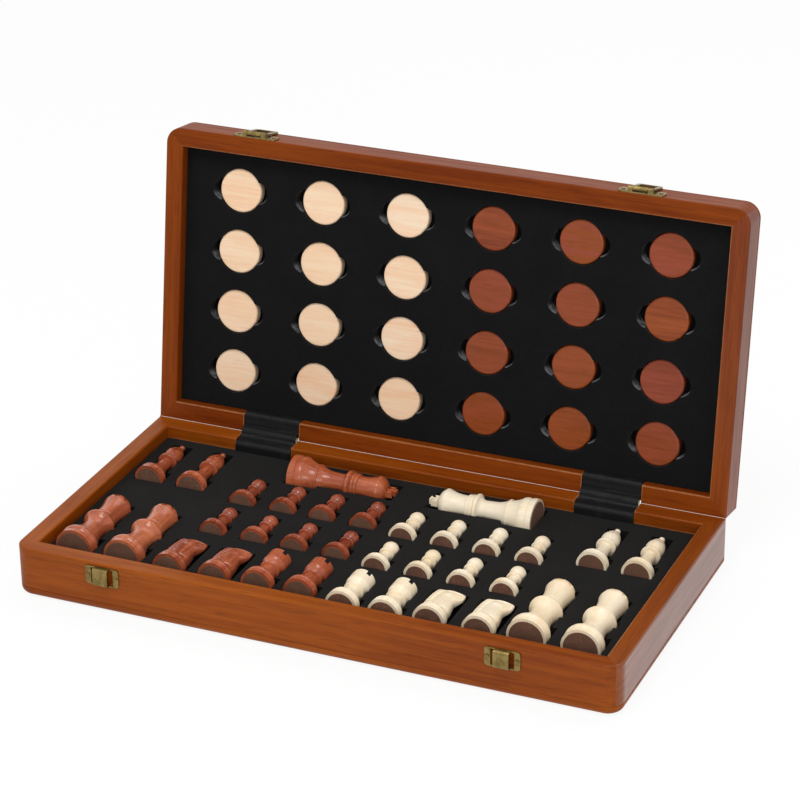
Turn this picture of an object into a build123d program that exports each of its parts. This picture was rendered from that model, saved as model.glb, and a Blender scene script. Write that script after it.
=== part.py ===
# Folding games box for chess and draughts: two shallow wooden halves on a pair of butt hinges.
# The outer faces carry the two halves of the board. The base tray holds the chessmen, the lid
# tray holds the draughts, and two bail latches close the front.
# Millimetres. X runs along the hinge, Y from the front to the hinge, Z up.
# The origin is the middle of the underside, and the lid stands open.
import os
from math import asin, degrees

from build123d import *

os.makedirs("parts", exist_ok=True)

# ---- Driving dimensions ----------------------------------------------------------------------

# Box
box_length = 380.0
box_depth = 190.0
base_height = 32.0
lid_height = 25.0
rail_thickness = 11.5
corner_radius = 10.0
rim_ease = 1.2
joint_groove = 0.5
lid_open_angle = 98.5
rim_gap = 0.1
hinge_setback = 0.05

# Playing board on the outer faces
board_thickness = 6.0
board_edge_radius = 4.5
board_margin = 22.0
squares_along = 8
squares_across = 4
inlay_thickness = 0.8

# Foam trays
base_recess = 8.0
lid_recess = 7.0
tray_clearance = 0.3
pocket_clearance = 0.35
pocket_end_gap = 1.6

# Hinges and the straps that cover them
hinge_insets = (79.0, 73.0)
notch_width = 38.5
notch_depth = 4.5
leaf_width = 36.0
leaf_reach = 10.4
leaf_thickness = 1.2
leaf_edge_gap = 0.6
knuckle_radius = 2.4
hinge_pin_radius = 1.05
running_clearance = 0.05
knuckle_gap = 0.3
middle_knuckle = 12.4
strap_width = 37.5
strap_thickness = 0.9
strap_knuckle_gap = 0.6
screw_spacing = 22.0
screw_head_radius = 2.4
screw_shank_radius = 1.1
screw_length = 9.0

# Latches
latch_insets = (59.5, 68.7)
keeper_width = 21.6
keeper_height = 12.0
keeper_drop = 8.0
keeper_plate = 0.8
keeper_bridge_width = 9.6
keeper_bridge_height = 10.4
keeper_reach = 3.6
keeper_window_width = 14.4
keeper_mortise = 2.0
latch_plate_width = 28.5
latch_plate_height = 9.0
latch_plate_margin = 1.0
latch_plate_thickness = 0.8
bail_width = 15.6
bail_length = 19.6
bail_bar = 2.5
bail_thickness = 1.0
bail_corner_radius = 2.2
bail_shoulder = 3.0
bail_knuckle_width = 9.0
bail_knuckle_radius = 1.5
bail_pivot_inset = 2.5
bail_rest_gap = 0.1
latch_pin_radius = 0.8
nail_head_radius = 1.1
nail_head_height = 0.5
nail_shank_radius = 0.6
nail_length = 6.0
keeper_nail_inset = 1.8
plate_nail_inset = 2.4

# Draughts: the insets are from the inner faces of the rails to the outer discs' centres
draught_radius = 14.0
draught_thickness = 6.0
draught_edge_radius = 1.2
draught_sink = 1.0
draught_columns = 6
draught_rows = 4
draught_end_inset = 37.25
draught_side_inset = 24.7
finger_radius = 7.0
finger_offset = 11.5

# Chessmen: the radius under the foot and the overall length of each kind
pawn_foot, pawn_length = 8.5, 29.5
rook_foot, rook_length = 9.9, 33.0
knight_foot, knight_length = 9.9, 35.0
bishop_foot, bishop_length = 9.5, 48.0
queen_foot, queen_length = 12.0, 60.5
king_foot, king_length = 12.7, 69.5
felt_thickness = 1.0
felt_recess = 0.5
felt_margin = 1.7
rook_well_radius, rook_well_depth, rook_gap = 4.8, 3.0, 2.6
bishop_cut_width, bishop_cut_drop = 1.0, 11.0
queen_scallops, queen_scallop_radius = 8, 2.0
king_cross_span, king_cross_thickness = 8.0, 3.6
knight_head_thickness, knight_crest_thickness = 12.0, 4.4
knight_edge_radius = 1.6
rook_gap_turn = 35.0

# The turned outlines from the foot upwards, as shares of the foot radius and of the length.
# A step of two numbers is straight, and a step of four bows through its first point.
pawn_outline = (
    (1.0, 0), (1.0, 0.075), (0.93, 0.095), (0.98, 0.14, 0.88, 0.19),
    (0.66, 0.285, 0.42, 0.425), (0.36, 0.575), (0.53, 0.585), (0.57, 0.612, 0.53, 0.64),
    (0.37, 0.65), (0.365, 0.69), (0.6, 0.827, 0.1, 1.0),
)
rook_outline = (
    (1.0, 0), (1.0, 0.085), (0.93, 0.106), (0.98, 0.155, 0.89, 0.21),
    (0.67, 0.33, 0.53, 0.475), (0.5, 0.53), (0.62, 0.54), (0.65, 0.56, 0.62, 0.58),
    (0.55, 0.59), (0.62, 0.68, 0.75, 0.735), (0.76, 1.0),
)
knight_outline = ((1.0, 0), (1.0, 0.08), (0.93, 0.1), (0.98, 0.145, 0.9, 0.2), (0.84, 0.23))
bishop_outline = (
    (1.0, 0), (1.0, 0.054), (0.93, 0.069), (0.98, 0.102, 0.88, 0.135),
    (0.66, 0.222, 0.43, 0.345), (0.385, 0.51), (0.62, 0.515), (0.66, 0.535, 0.62, 0.555),
    (0.41, 0.562), (0.56, 0.628, 0.62, 0.705), (0.44, 0.83, 0.137, 0.933), (0.2, 0.96, 0.06, 1.0),
)
queen_outline = (
    (1.0, 0), (1.0, 0.05), (0.93, 0.06), (1.025, 0.1, 0.94, 0.148),
    (0.77, 0.225, 0.61, 0.33), (0.59, 0.39), (0.66, 0.462, 0.83, 0.51), (0.86, 0.525, 0.83, 0.545),
    (0.68, 0.57, 0.61, 0.645), (0.63, 0.78, 0.75, 0.895), (0.745, 0.925), (0.63, 0.97, 0.34, 0.99),
    (0, 1.0),
)
king_outline = (
    (1.0, 0), (1.0, 0.049), (0.93, 0.062), (0.99, 0.1, 0.91, 0.138),
    (0.79, 0.183, 0.7, 0.238), (0.75, 0.25, 0.69, 0.264), (0.55, 0.325, 0.49, 0.395),
    (0.47, 0.48), (0.54, 0.515, 0.7, 0.534), (0.735, 0.549, 0.69, 0.565), (0.58, 0.577),
    (0.65, 0.594, 0.59, 0.611), (0.63, 0.627, 0.54, 0.645), (0.56, 0.73, 0.7, 0.826),
    (0.715, 0.84, 0.69, 0.853), (0.65, 0.864), (0.5, 0.892, 0.26, 0.91), (0, 0.91),
)
# The knight's head in profile, with its chest and muzzle towards +X
knight_mane = ((-0.84, 0.22), (-0.96, 0.45), (-0.93, 0.75), (-0.8, 1.0))
knight_face = (
    (-0.45, 0.955), (0.86, 0.98), (0.99, 0.88), (0.88, 0.79), (0.7, 0.6, 0.8, 0.42),
    (0.84, 0.22),
)

# Where the men lie. Each list gives the clear gaps along one line of men, from the middle of the
# box outwards or from the front rail backwards.
front_row_gaps = {
    "dark": (5.3, 7.4, 7.4, 9.9, 9.3, 8.2, 3.8),
    "light": (3.6, 6.8, 6.9, 10.4, 6.3, 8.6, 8.7),
}
back_row_gaps = {
    "dark": (6.4, 10.1, 9.3, 10.3, 20.7, 9.7, 6.0),
    "light": (4.1, 10.0, 10.0, 10.0, 18.9, 9.0, 10.5),
}
pawn_line_gaps = {"dark": (10.8, 16.6, 11.0, 4.3, 4.9), "light": (10.8, 13.1, 10.8, 8.0, 4.9)}
bishop_line_gaps = {"dark": (12.5, 37.0, 9.0), "light": (14.3, 32.3, 11.9)}
rook_front_gap = {"dark": 12.5, "light": 8.1}
king_middle_gap = {"dark": 11.8, "light": 10.7}
pawn_sink = 1.3
bishop_sink = 0.4

# ---- Sizes and planes that follow from them --------------------------------------------------

front_face = -box_depth / 2
back_face = box_depth / 2
inner_length = box_length - 2 * rail_thickness
inner_depth = box_depth - 2 * rail_thickness
base_foam_top = base_height - base_recess
lid_foam_top = lid_height - lid_recess
hinge_positions = (hinge_insets[0] - box_length / 2, box_length / 2 - hinge_insets[1])
latch_positions = (latch_insets[0] - box_length / 2, box_length / 2 - latch_insets[1])
square_side = min(
    (box_length - 2 * board_margin) / squares_along, (box_depth - board_margin) / squares_across
)
draught_column_pitch = (inner_length - 2 * draught_end_inset) / (draught_columns - 1)
draught_row_pitch = (inner_depth - 2 * draught_side_inset) / (draught_rows - 1)
hinge_axis = Axis((0, back_face + hinge_setback, base_height + rim_gap / 2), (1, 0, 0))


def opened(vector):
    """A direction in the closed lid, turned to where it points with the lid open."""
    return Vector(*vector).rotate(Axis.X, -lid_open_angle)


# Each half has a plane at its board face with Z towards its rim. The base's hinge is at the
# plane's +Y edge, and the lid's at its -Y edge.
base_plane = Plane.XY
closed_lid_origin = Vector(0, 0, base_height + rim_gap + lid_height)
lid_origin = hinge_axis.position + opened(closed_lid_origin - hinge_axis.position)
lid_plane = Plane(origin=lid_origin, x_dir=(1, 0, 0), z_dir=opened((0, 0, -1)))

halves = {
    "base": {"plane": base_plane, "height": base_height, "foam": base_foam_top, "hinge": 1},
    "lid": {"plane": lid_plane, "height": lid_height, "foam": lid_foam_top, "hinge": -1},
}


def save(piece, name):
    piece.part.label = name
    export_step(piece.part, f"parts/{name}.step")


# ---- Wooden frames ---------------------------------------------------------------------------


def half_outline(hinge):
    """The outline of a half, rounded at its two corners away from the hinge."""
    with BuildSketch() as outline:
        Rectangle(box_length, box_depth)
        fillet(outline.vertices().group_by(Axis.Y)[0 if hinge > 0 else -1], corner_radius)
    return outline.sketch


def mitre_wedge(side):
    """The trapezium between the mitres of one rail."""
    x, y, m = box_length / 2, box_depth / 2, 2 * rail_thickness
    if side in ("left", "right"):
        s = 1 if side == "right" else -1
        return [(s * x, -y), (s * x, y), (s * (x - m), y - m), (s * (x - m), m - y)]
    s = 1 if side == "plus" else -1
    return [(-x, s * y), (x, s * y), (x - m, s * (y - m)), (m - x, s * (y - m))]


def is_mitre(edge, plane):
    """Whether an edge lies across a rail along its mitre."""
    run = plane.to_local_coords(edge @ 1) - plane.to_local_coords(edge @ 0)
    straight = edge.geom_type == GeomType.LINE
    return straight and abs(abs(run.X) - abs(run.Y)) < 0.01 and abs(run.Z) < 0.01


def rail(half, side, face=Plane.XY, nail_spots=(), mortises=()):
    """One mitred rail with its rim eased, and any nail holes and mortises in its outer face."""
    plane, height, hinge = half["plane"], half["height"], half["hinge"]
    with BuildPart() as piece:
        with BuildSketch(plane.offset(board_thickness)):
            add(half_outline(hinge))
            Rectangle(inner_length, inner_depth, mode=Mode.SUBTRACT)
            with BuildLine():
                Polyline(*mitre_wedge(side), close=True)
            make_face(mode=Mode.INTERSECT)
        extrude(amount=height - board_thickness)
        upward = Axis(plane.origin, plane.z_dir)
        rim = piece.faces().sort_by(upward)[-1].edges()
        eased = [edge for edge in rim if not is_mitre(edge, plane)]
        hinge_edge = hinge * box_depth / 2
        if (side, hinge) in (("plus", 1), ("minus", -1)):
            # The two rims that meet at the hinge stay square where they meet.
            eased = [e for e in eased if abs(plane.to_local_coords(e @ 0.5).Y - hinge_edge) > 0.01]
        fillet(eased, rim_ease)
        if (side, hinge) in (("plus", 1), ("minus", -1)):
            notch_middle = height - notch_depth / 2
            with BuildSketch(plane.offset(height)):
                with Locations(*[(x, hinge * box_depth / 2) for x in hinge_positions]):
                    Rectangle(notch_width, 3 * rail_thickness)
            extrude(amount=-notch_depth, mode=Mode.SUBTRACT)
            with BuildSketch(plane.offset(height - notch_depth)):
                with Locations(*screw_spots(hinge)):
                    Circle(screw_shank_radius)
            extrude(amount=-screw_length, mode=Mode.SUBTRACT)
        if nail_spots:
            with BuildSketch(face):
                with Locations(*nail_spots):
                    Circle(nail_shank_radius)
            extrude(amount=-nail_length, mode=Mode.SUBTRACT)
        if mortises:
            with BuildSketch(face):
                with Locations(*mortises):
                    Rectangle(keeper_window_width - 1, keeper_bridge_height - 1)
            extrude(amount=-keeper_mortise, mode=Mode.SUBTRACT)
    return piece


def screw_spots(hinge):
    """The hinge screws of one half, in its own plane."""
    across = hinge * (box_depth / 2 - leaf_edge_gap - leaf_reach / 2 - knuckle_radius / 4)
    return [(x + s * screw_spacing / 2, across) for x in hinge_positions for s in (-1, 1)]


# ---- Playing board ---------------------------------------------------------------------------

field_length = squares_along * square_side
field_depth = squares_across * square_side


def square_spots(hinge, dark):
    """The centres of the dark or light squares, which alternate across the fold too."""
    spots = []
    for column in range(squares_along):
        for row in range(squares_across):
            if ((column + row) % 2 == (0 if hinge > 0 else 1)) == dark:
                x = (column + 0.5) * square_side - field_length / 2
                spots.append((x, hinge * (box_depth / 2 - (row + 0.5) * square_side)))
    return spots


def board_panel(half):
    """The board under a half, with a shallow pocket for the inlaid squares."""
    plane, hinge = half["plane"], half["hinge"]
    with BuildPart() as piece:
        with BuildSketch(plane):
            add(half_outline(hinge))
        extrude(amount=board_thickness)
        upward = Axis(plane.origin, plane.z_dir)
        hinge_edge = Vector(0, hinge * box_depth / 2, 0)
        for face, radius in ((0, board_edge_radius), (-1, joint_groove)):
            rim = piece.faces().sort_by(upward)[face].edges()
            free = [e for e in rim if abs(plane.to_local_coords(e @ 0.5).Y - hinge_edge.Y) > 0.01]
            if face == 0:
                fillet(free, radius)
            else:
                chamfer(free, radius)
        with BuildSketch(plane):
            with Locations((0, hinge * (box_depth - field_depth) / 2)):
                Rectangle(field_length, field_depth)
        extrude(amount=inlay_thickness, mode=Mode.SUBTRACT)
    return piece


def board_squares(half, dark):
    """The veneer squares of one colour, flush with the board face."""
    with BuildPart() as piece:
        with BuildSketch(half["plane"]):
            with Locations(*square_spots(half["hinge"], dark)):
                Rectangle(square_side, square_side)
        extrude(amount=inlay_thickness)
    return piece


keeper_face = Plane(origin=(0, front_face, 0), x_dir=(1, 0, 0), z_dir=(0, -1, 0))
keeper_z = base_height - keeper_drop
keeper_nail_offset = keeper_width / 2 - keeper_nail_inset
keeper_nail_spots = [(x + s * keeper_nail_offset, keeper_z) for x in latch_positions for s in (-1, 1)]
keeper_spots = [(x, keeper_z) for x in latch_positions]

# On the lid's free edge, X runs along the box and Y from the rim towards the board.
lid_edge_plane = Plane(
    origin=lid_plane.from_local_coords((0, box_depth / 2, lid_height)),
    x_dir=(1, 0, 0),
    z_dir=lid_plane.y_dir,
)
plate_row = latch_plate_margin + latch_plate_height / 2
plate_nail_offset = latch_plate_width / 2 - plate_nail_inset
plate_nail_spots = [(x + s * plate_nail_offset, plate_row) for x in latch_positions for s in (-1, 1)]

save(rail(halves["base"], "minus", keeper_face, keeper_nail_spots, keeper_spots), "base_front_rail")
save(rail(halves["base"], "plus"), "base_back_rail")
save(rail(halves["lid"], "plus", lid_edge_plane, plate_nail_spots), "lid_front_rail")
save(rail(halves["lid"], "minus"), "lid_back_rail")
for half_name, half in halves.items():
    save(rail(half, "left"), f"{half_name}_left_rail")
    save(rail(half, "right"), f"{half_name}_right_rail")
    save(board_panel(half), f"{half_name}_board_panel")
    save(board_squares(half, True), f"{half_name}_dark_squares")
    save(board_squares(half, False), f"{half_name}_light_squares")

# ---- Hinges and straps -----------------------------------------------------------------------

outer_knuckle = (leaf_width - middle_knuckle) / 2 - knuckle_gap
outer_knuckle_offset = (leaf_width - outer_knuckle) / 2


def hinge_leaf(half, x, knuckles):
    """A leaf in its notch, with a web up to the knuckles that it carries round the pin."""
    plane, hinge = half["plane"], half["hinge"]
    floor = half["height"] - notch_depth
    pivot_y = hinge * (box_depth / 2 + hinge_setback)
    pivot_z = half["height"] + rim_gap / 2
    leaf_end = box_depth / 2 - leaf_edge_gap
    web_middle = hinge * (leaf_end - leaf_thickness / 2)
    with BuildPart() as piece:
        with BuildSketch(plane.offset(floor)):
            with Locations((x, hinge * (leaf_end - leaf_reach / 2))):
                RectangleRounded(leaf_width, leaf_reach, 0.8)
        extrude(amount=leaf_thickness)
        for offset, width in knuckles:
            with BuildSketch(plane.offset(floor)):
                with Locations((x + offset, web_middle)):
                    Rectangle(width, leaf_thickness)
            extrude(amount=pivot_z - floor)
            end = plane.from_local_coords((x + offset - width / 2, pivot_y, pivot_z))
            with BuildSketch(Plane(origin=end, x_dir=(0, 1, 0), z_dir=(1, 0, 0))):
                Circle(knuckle_radius)
            extrude(amount=width)
            with BuildSketch(Plane(origin=end, x_dir=(0, 1, 0), z_dir=(1, 0, 0))):
                Circle(hinge_pin_radius + running_clearance)
            extrude(amount=width, mode=Mode.SUBTRACT)
        with BuildSketch(plane.offset(floor)):
            with Locations(*[spot for spot in screw_spots(hinge) if abs(spot[0] - x) < leaf_width]):
                Circle(screw_shank_radius + running_clearance)
        extrude(amount=leaf_thickness, mode=Mode.SUBTRACT)
        head_depth = screw_head_radius - screw_shank_radius
        with BuildSketch(plane.offset(floor + leaf_thickness)):
            with Locations(*[spot for spot in screw_spots(hinge) if abs(spot[0] - x) < leaf_width]):
                Circle(screw_head_radius)
        extrude(amount=-leaf_thickness, taper=45, mode=Mode.SUBTRACT)
    return piece


def hinge_screws(half):
    """Countersunk screws through both leaves of one half."""
    plane = half["plane"]
    top = half["height"] - notch_depth + leaf_thickness
    with BuildPart() as piece:
        with BuildSketch(plane.offset(top)):
            with Locations(*screw_spots(half["hinge"])):
                Circle(screw_head_radius - running_clearance)
        extrude(amount=-leaf_thickness, taper=45)
        with BuildSketch(plane.offset(top)):
            with Locations(*screw_spots(half["hinge"])):
                Circle(screw_shank_radius - running_clearance)
        extrude(amount=-screw_length)
    return piece


def straps(half):
    """Strips over both hinges of one half: flat on the leaf, then down the rail to the foam."""
    plane, hinge = half["plane"], half["hinge"]
    rail_inner = box_depth / 2 - rail_thickness
    bottom = half["height"] - notch_depth + leaf_thickness
    top = bottom + strap_thickness
    knuckle_end = box_depth / 2 + hinge_setback - knuckle_radius - strap_knuckle_gap
    inside = rail_inner - strap_thickness
    with BuildPart() as piece:
        for x in hinge_positions:
            start = plane.from_local_coords((x - strap_width / 2, 0, 0))
            # Seen along +X, the sketch's X is the half's own Y and its Y is the half's Z.
            side_plane = Plane(origin=start, x_dir=plane.y_dir, z_dir=(1, 0, 0))
            with BuildSketch(side_plane):
                with BuildLine():
                    Polyline(
                        (hinge * knuckle_end, bottom),
                        (hinge * rail_inner, bottom),
                        (hinge * rail_inner, half["foam"]),
                        (hinge * inside, half["foam"]),
                        (hinge * inside, top),
                        (hinge * knuckle_end, top),
                        close=True,
                    )
                make_face()
            extrude(amount=strap_width)
    return piece


outer_pair = [(s * outer_knuckle_offset, outer_knuckle) for s in (-1, 1)]
for side, x in zip(("left", "right"), hinge_positions):
    save(hinge_leaf(halves["base"], x, outer_pair), f"hinge_{side}_base_leaf")
    save(hinge_leaf(halves["lid"], x, [(0, middle_knuckle)]), f"hinge_{side}_lid_leaf")

with BuildPart() as hinge_pins:
    for x in hinge_positions:
        pin_start = hinge_axis.position + Vector(x - leaf_width / 2, 0, 0)
        with BuildSketch(Plane(origin=pin_start, x_dir=(0, 1, 0), z_dir=(1, 0, 0))):
            Circle(hinge_pin_radius)
        extrude(amount=leaf_width)
save(hinge_pins, "hinge_pins")

for half_name, half in halves.items():
    save(hinge_screws(half), f"hinge_{half_name}_screws")
    save(straps(half), f"{half_name}_hinge_straps")

# ---- Latches ---------------------------------------------------------------------------------

bail_height = latch_plate_thickness + bail_knuckle_radius + 0.3
ear_gap = 0.3
ear_width = (bail_width - bail_knuckle_width) / 2 - ear_gap


def nails(face, spots, plate):
    """Round-headed nails driven through a plate."""
    with BuildPart() as piece:
        with BuildSketch(face.offset(plate)):
            with Locations(*spots):
                Circle(nail_head_radius)
        extrude(amount=nail_head_height)
        with BuildSketch(face.offset(plate)):
            with Locations(*spots):
                Circle(nail_shank_radius - running_clearance)
        extrude(amount=-nail_length)
    return piece


for side, x in zip(("left", "right"), latch_positions):
    with BuildPart() as keeper:
        with BuildSketch(keeper_face):
            with Locations((x, keeper_z)):
                RectangleRounded(keeper_width, keeper_height, 2.0)
                Rectangle(keeper_window_width, keeper_bridge_height, mode=Mode.SUBTRACT)
            with Locations(*[(x + s * keeper_nail_offset, keeper_z) for s in (-1, 1)]):
                Circle(nail_shank_radius, mode=Mode.SUBTRACT)
        extrude(amount=keeper_plate)
        # The bridge is a strip bent outwards over the window, open at its left and right.
        strip_start = keeper_face.from_local_coords((x - keeper_bridge_width / 2, keeper_z, 0))
        strip_plane = Plane(origin=strip_start, x_dir=(0, -1, 0), z_dir=(1, 0, 0))
        with BuildSketch(strip_plane) as strip:
            with Locations((keeper_reach / 2, 0)):
                Rectangle(keeper_reach, keeper_bridge_height + 0.6)
            outer = strip.vertices().group_by(Axis.X)[-1]
            fillet(outer, 1.4)
            with Locations((keeper_reach / 2 - keeper_plate, 0)):
                Rectangle(keeper_reach, keeper_bridge_height - 1.2, mode=Mode.SUBTRACT)
        extrude(amount=keeper_bridge_width)
    save(keeper, f"latch_{side}_keeper")

    with BuildPart() as latch_plate:
        with BuildSketch(lid_edge_plane):
            with Locations((x, plate_row)):
                RectangleRounded(latch_plate_width, latch_plate_height, 2.0)
            with Locations(*[(x + s * plate_nail_offset, plate_row) for s in (-1, 1)]):
                Circle(nail_shank_radius, mode=Mode.SUBTRACT)
        extrude(amount=latch_plate_thickness)
        for s in (-1, 1):
            ear_middle = s * (bail_width - ear_width) / 2
            with BuildSketch(lid_edge_plane):
                with Locations((x + ear_middle, bail_pivot_inset)):
                    Rectangle(ear_width, 2 * bail_knuckle_radius)
            extrude(amount=bail_height)
            ear_start = lid_edge_plane.from_local_coords(
                (x + ear_middle - ear_width / 2, bail_pivot_inset, bail_height)
            )
            with BuildSketch(Plane(origin=ear_start, x_dir=(0, 1, 0), z_dir=(1, 0, 0))):
                Circle(bail_knuckle_radius)
            extrude(amount=ear_width)
            with BuildSketch(Plane(origin=ear_start, x_dir=(0, 1, 0), z_dir=(1, 0, 0))):
                Circle(latch_pin_radius + running_clearance / 2)
            extrude(amount=ear_width, mode=Mode.SUBTRACT)
    save(latch_plate, f"latch_{side}_plate")

    # The bail is a frame folded back along the lid's edge, hinged between the plate's ears. Its
    # free end lies on the wood, so it leans down from the pin.
    with BuildPart() as bail:
        lean = degrees(asin((bail_height - bail_thickness / 2 - bail_rest_gap) / bail_length))
        bail_plane = Plane(
            origin=lid_edge_plane.from_local_coords((0, bail_pivot_inset, bail_height)),
            x_dir=(1, 0, 0),
            z_dir=lid_edge_plane.z_dir.rotate(Axis.X, -lean),
        ).offset(-bail_thickness / 2)
        window_start = bail_shoulder + bail_bar - 0.9
        window_end = bail_length - bail_bar
        with BuildSketch(bail_plane) as bail_frame:
            with Locations((x, (bail_shoulder + bail_length) / 2)):
                Rectangle(bail_width, bail_length - bail_shoulder)
            fillet(bail_frame.vertices().group_by(Axis.Y)[-1], bail_corner_radius)
            with Locations((x, (window_start + window_end) / 2)):
                Rectangle(bail_width - 2 * bail_bar, window_end - window_start, mode=Mode.SUBTRACT)
            with Locations((x, bail_shoulder / 2)):
                Rectangle(bail_knuckle_width, bail_shoulder)
        extrude(amount=bail_thickness)
        knuckle_start = lid_edge_plane.from_local_coords(
            (x - bail_knuckle_width / 2, bail_pivot_inset, bail_height)
        )
        knuckle_plane = Plane(origin=knuckle_start, x_dir=(0, 1, 0), z_dir=(1, 0, 0))
        with BuildSketch(knuckle_plane):
            Circle(bail_knuckle_radius)
        extrude(amount=bail_knuckle_width)
        with BuildSketch(knuckle_plane):
            Circle(latch_pin_radius + running_clearance)
        extrude(amount=bail_knuckle_width, mode=Mode.SUBTRACT)
    save(bail, f"latch_{side}_bail")

with BuildPart() as latch_pins:
    for x in latch_positions:
        pin_start = lid_edge_plane.from_local_coords((x - bail_width / 2, bail_pivot_inset, bail_height))
        with BuildSketch(Plane(origin=pin_start, x_dir=(0, 1, 0), z_dir=(1, 0, 0))):
            Circle(latch_pin_radius)
        extrude(amount=bail_width)
save(latch_pins, "latch_pins")

save(nails(keeper_face, keeper_nail_spots, keeper_plate), "keeper_nails")
save(nails(lid_edge_plane, plate_nail_spots, latch_plate_thickness), "latch_plate_nails")

# ---- Chessmen --------------------------------------------------------------------------------
# Each is turned standing on the XY plane, then laid on its side in the tray.


def turned(foot, length, steps):
    """Draws a turned outline from the middle of the foot, up its steps, and back down the axis."""
    here = (0, 0)
    for step in steps:
        points = [(r * foot, h * length) for r, h in zip(step[::2], step[1::2])]
        if len(points) == 1:
            Line(here, points[0])
        else:
            ThreePointArc(here, *points)
        here = points[-1]
    if here[0] > 0:
        Line(here, (0, here[1]))
    Line((0, here[1]), (0, 0))


with BuildPart() as pawn:
    with BuildSketch(Plane.XZ):
        with BuildLine():
            turned(pawn_foot, pawn_length, pawn_outline)
        make_face()
    revolve(axis=Axis.Z)
    with BuildSketch(Plane.XY):
        Circle(pawn_foot - felt_margin)
    extrude(amount=felt_recess, mode=Mode.SUBTRACT)

with BuildPart() as rook:
    with BuildSketch(Plane.XZ):
        with BuildLine():
            turned(rook_foot, rook_length, rook_outline)
        make_face()
    revolve(axis=Axis.Z)
    with BuildSketch(Plane.XY):
        Circle(rook_foot - felt_margin)
    extrude(amount=felt_recess, mode=Mode.SUBTRACT)
    with BuildSketch(Plane.XY.offset(rook_length)):
        Circle(rook_well_radius)
        for angle in (rook_gap_turn, rook_gap_turn + 90):
            Rectangle(2 * rook_foot, rook_gap, rotation=angle)
    extrude(amount=-rook_well_depth, mode=Mode.SUBTRACT)

with BuildPart() as bishop:
    with BuildSketch(Plane.XZ):
        with BuildLine():
            turned(bishop_foot, bishop_length, bishop_outline)
        make_face()
    revolve(axis=Axis.Z)
    with BuildSketch(Plane.XY):
        Circle(bishop_foot - felt_margin)
    extrude(amount=felt_recess, mode=Mode.SUBTRACT)
    cut_middle = Location((bishop_foot * 0.46, 0, bishop_length - bishop_cut_drop), (0, -35, 0))
    with Locations(cut_middle):
        Box(0.95 * bishop_foot, 2 * bishop_foot, bishop_cut_width, mode=Mode.SUBTRACT)

with BuildPart() as queen:
    with BuildSketch(Plane.XZ):
        with BuildLine():
            turned(queen_foot, queen_length, queen_outline)
        make_face()
    revolve(axis=Axis.Z)
    with BuildSketch(Plane.XY):
        Circle(queen_foot - felt_margin)
    extrude(amount=felt_recess, mode=Mode.SUBTRACT)
    with PolarLocations(0.79 * queen_foot, queen_scallops):
        with Locations((0, 0, 0.935 * queen_length)):
            Cylinder(queen_scallop_radius, 0.4 * queen_foot, rotation=(0, 90, 0), mode=Mode.SUBTRACT)

with BuildPart() as king:
    with BuildSketch(Plane.XZ):
        with BuildLine():
            turned(king_foot, king_length, king_outline)
        make_face()
    revolve(axis=Axis.Z)
    with BuildSketch(Plane.XY):
        Circle(king_foot - felt_margin)
    extrude(amount=felt_recess, mode=Mode.SUBTRACT)
    arm = king_cross_span / 2
    cross_middle = king_length - arm
    with BuildSketch(Plane.XZ) as cross:
        for angle in (0, 90, 180, 270):
            with BuildLine():
                Polyline(
                    Vector(0.16 * arm, 0).rotate(Axis.Z, angle) + Vector(0, cross_middle),
                    Vector(arm, -0.55 * arm).rotate(Axis.Z, angle) + Vector(0, cross_middle),
                    Vector(arm, 0.55 * arm).rotate(Axis.Z, angle) + Vector(0, cross_middle),
                    Vector(-0.16 * arm, 0).rotate(Axis.Z, angle) + Vector(0, cross_middle),
                    close=True,
                )
            make_face()
        with Locations((0, cross_middle)):
            Circle(0.42 * arm)
        with Locations((0, cross_middle - arm)):
            Rectangle(0.8 * arm, arm)
    extrude(amount=king_cross_thickness / 2, both=True)

with BuildPart() as knight:
    with BuildSketch(Plane.XZ) as head:
        with BuildLine():
            mane_points = [(x * knight_foot, z * knight_length) for x, z in knight_mane]
            Spline(*mane_points)
            here = mane_points[-1]
            for step in knight_face:
                points = [(x * knight_foot, z * knight_length) for x, z in zip(step[::2], step[1::2])]
                if len(points) == 1:
                    Line(here, points[0])
                else:
                    ThreePointArc(here, *points)
                here = points[-1]
            Line(here, mane_points[0])
        make_face()
    extrude(amount=knight_head_thickness / 2, both=True)
    # The head thins from the neck to the crest.
    with BuildSketch(Plane.YZ):
        neck, crest = knight_head_thickness / 2, knight_crest_thickness / 2
        with BuildLine():
            Polyline(
                (-neck, 0), (neck, 0), (neck, 0.3 * knight_length), (crest, knight_length + 1),
                (-crest, knight_length + 1), (-neck, 0.3 * knight_length), close=True,
            )
        make_face()
    extrude(amount=2 * knight_foot, both=True, mode=Mode.INTERSECT)
    sides = [face for face in knight.faces() if abs(face.normal_at().Y) > 0.9]
    rounded = [e for face in sides for e in face.edges() if e.center().Z > 0.31 * knight_length]
    fillet(rounded, knight_edge_radius)
    with BuildSketch(Plane.XZ):
        with BuildLine():
            turned(knight_foot, knight_length, knight_outline)
        make_face()
    revolve(axis=Axis.Z)
    with BuildSketch(Plane.XY):
        Circle(knight_foot - felt_margin)
    extrude(amount=felt_recess, mode=Mode.SUBTRACT)


def spread(gaps, sizes, room):
    """Centres along a line of men, with the gaps between them scaled to fill the room."""
    scale = (room - sum(sizes)) / sum(gaps)
    centres, end = [], 0.0
    for gap, size in zip(gaps, sizes):
        centres.append(end + gap * scale + size / 2)
        end += gap * scale + size
    return centres


half_room = inner_length / 2
front_feet = [2 * foot for foot in (rook_foot, rook_foot, knight_foot, knight_foot, queen_foot, queen_foot)]
back_feet = [2 * foot for foot in (pawn_foot, pawn_foot, pawn_foot, pawn_foot, bishop_foot, bishop_foot)]
pawn_line_sizes = (knight_length, pawn_length, pawn_length, 2 * king_foot)
set_sides = {"dark": -1, "light": 1}


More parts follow.
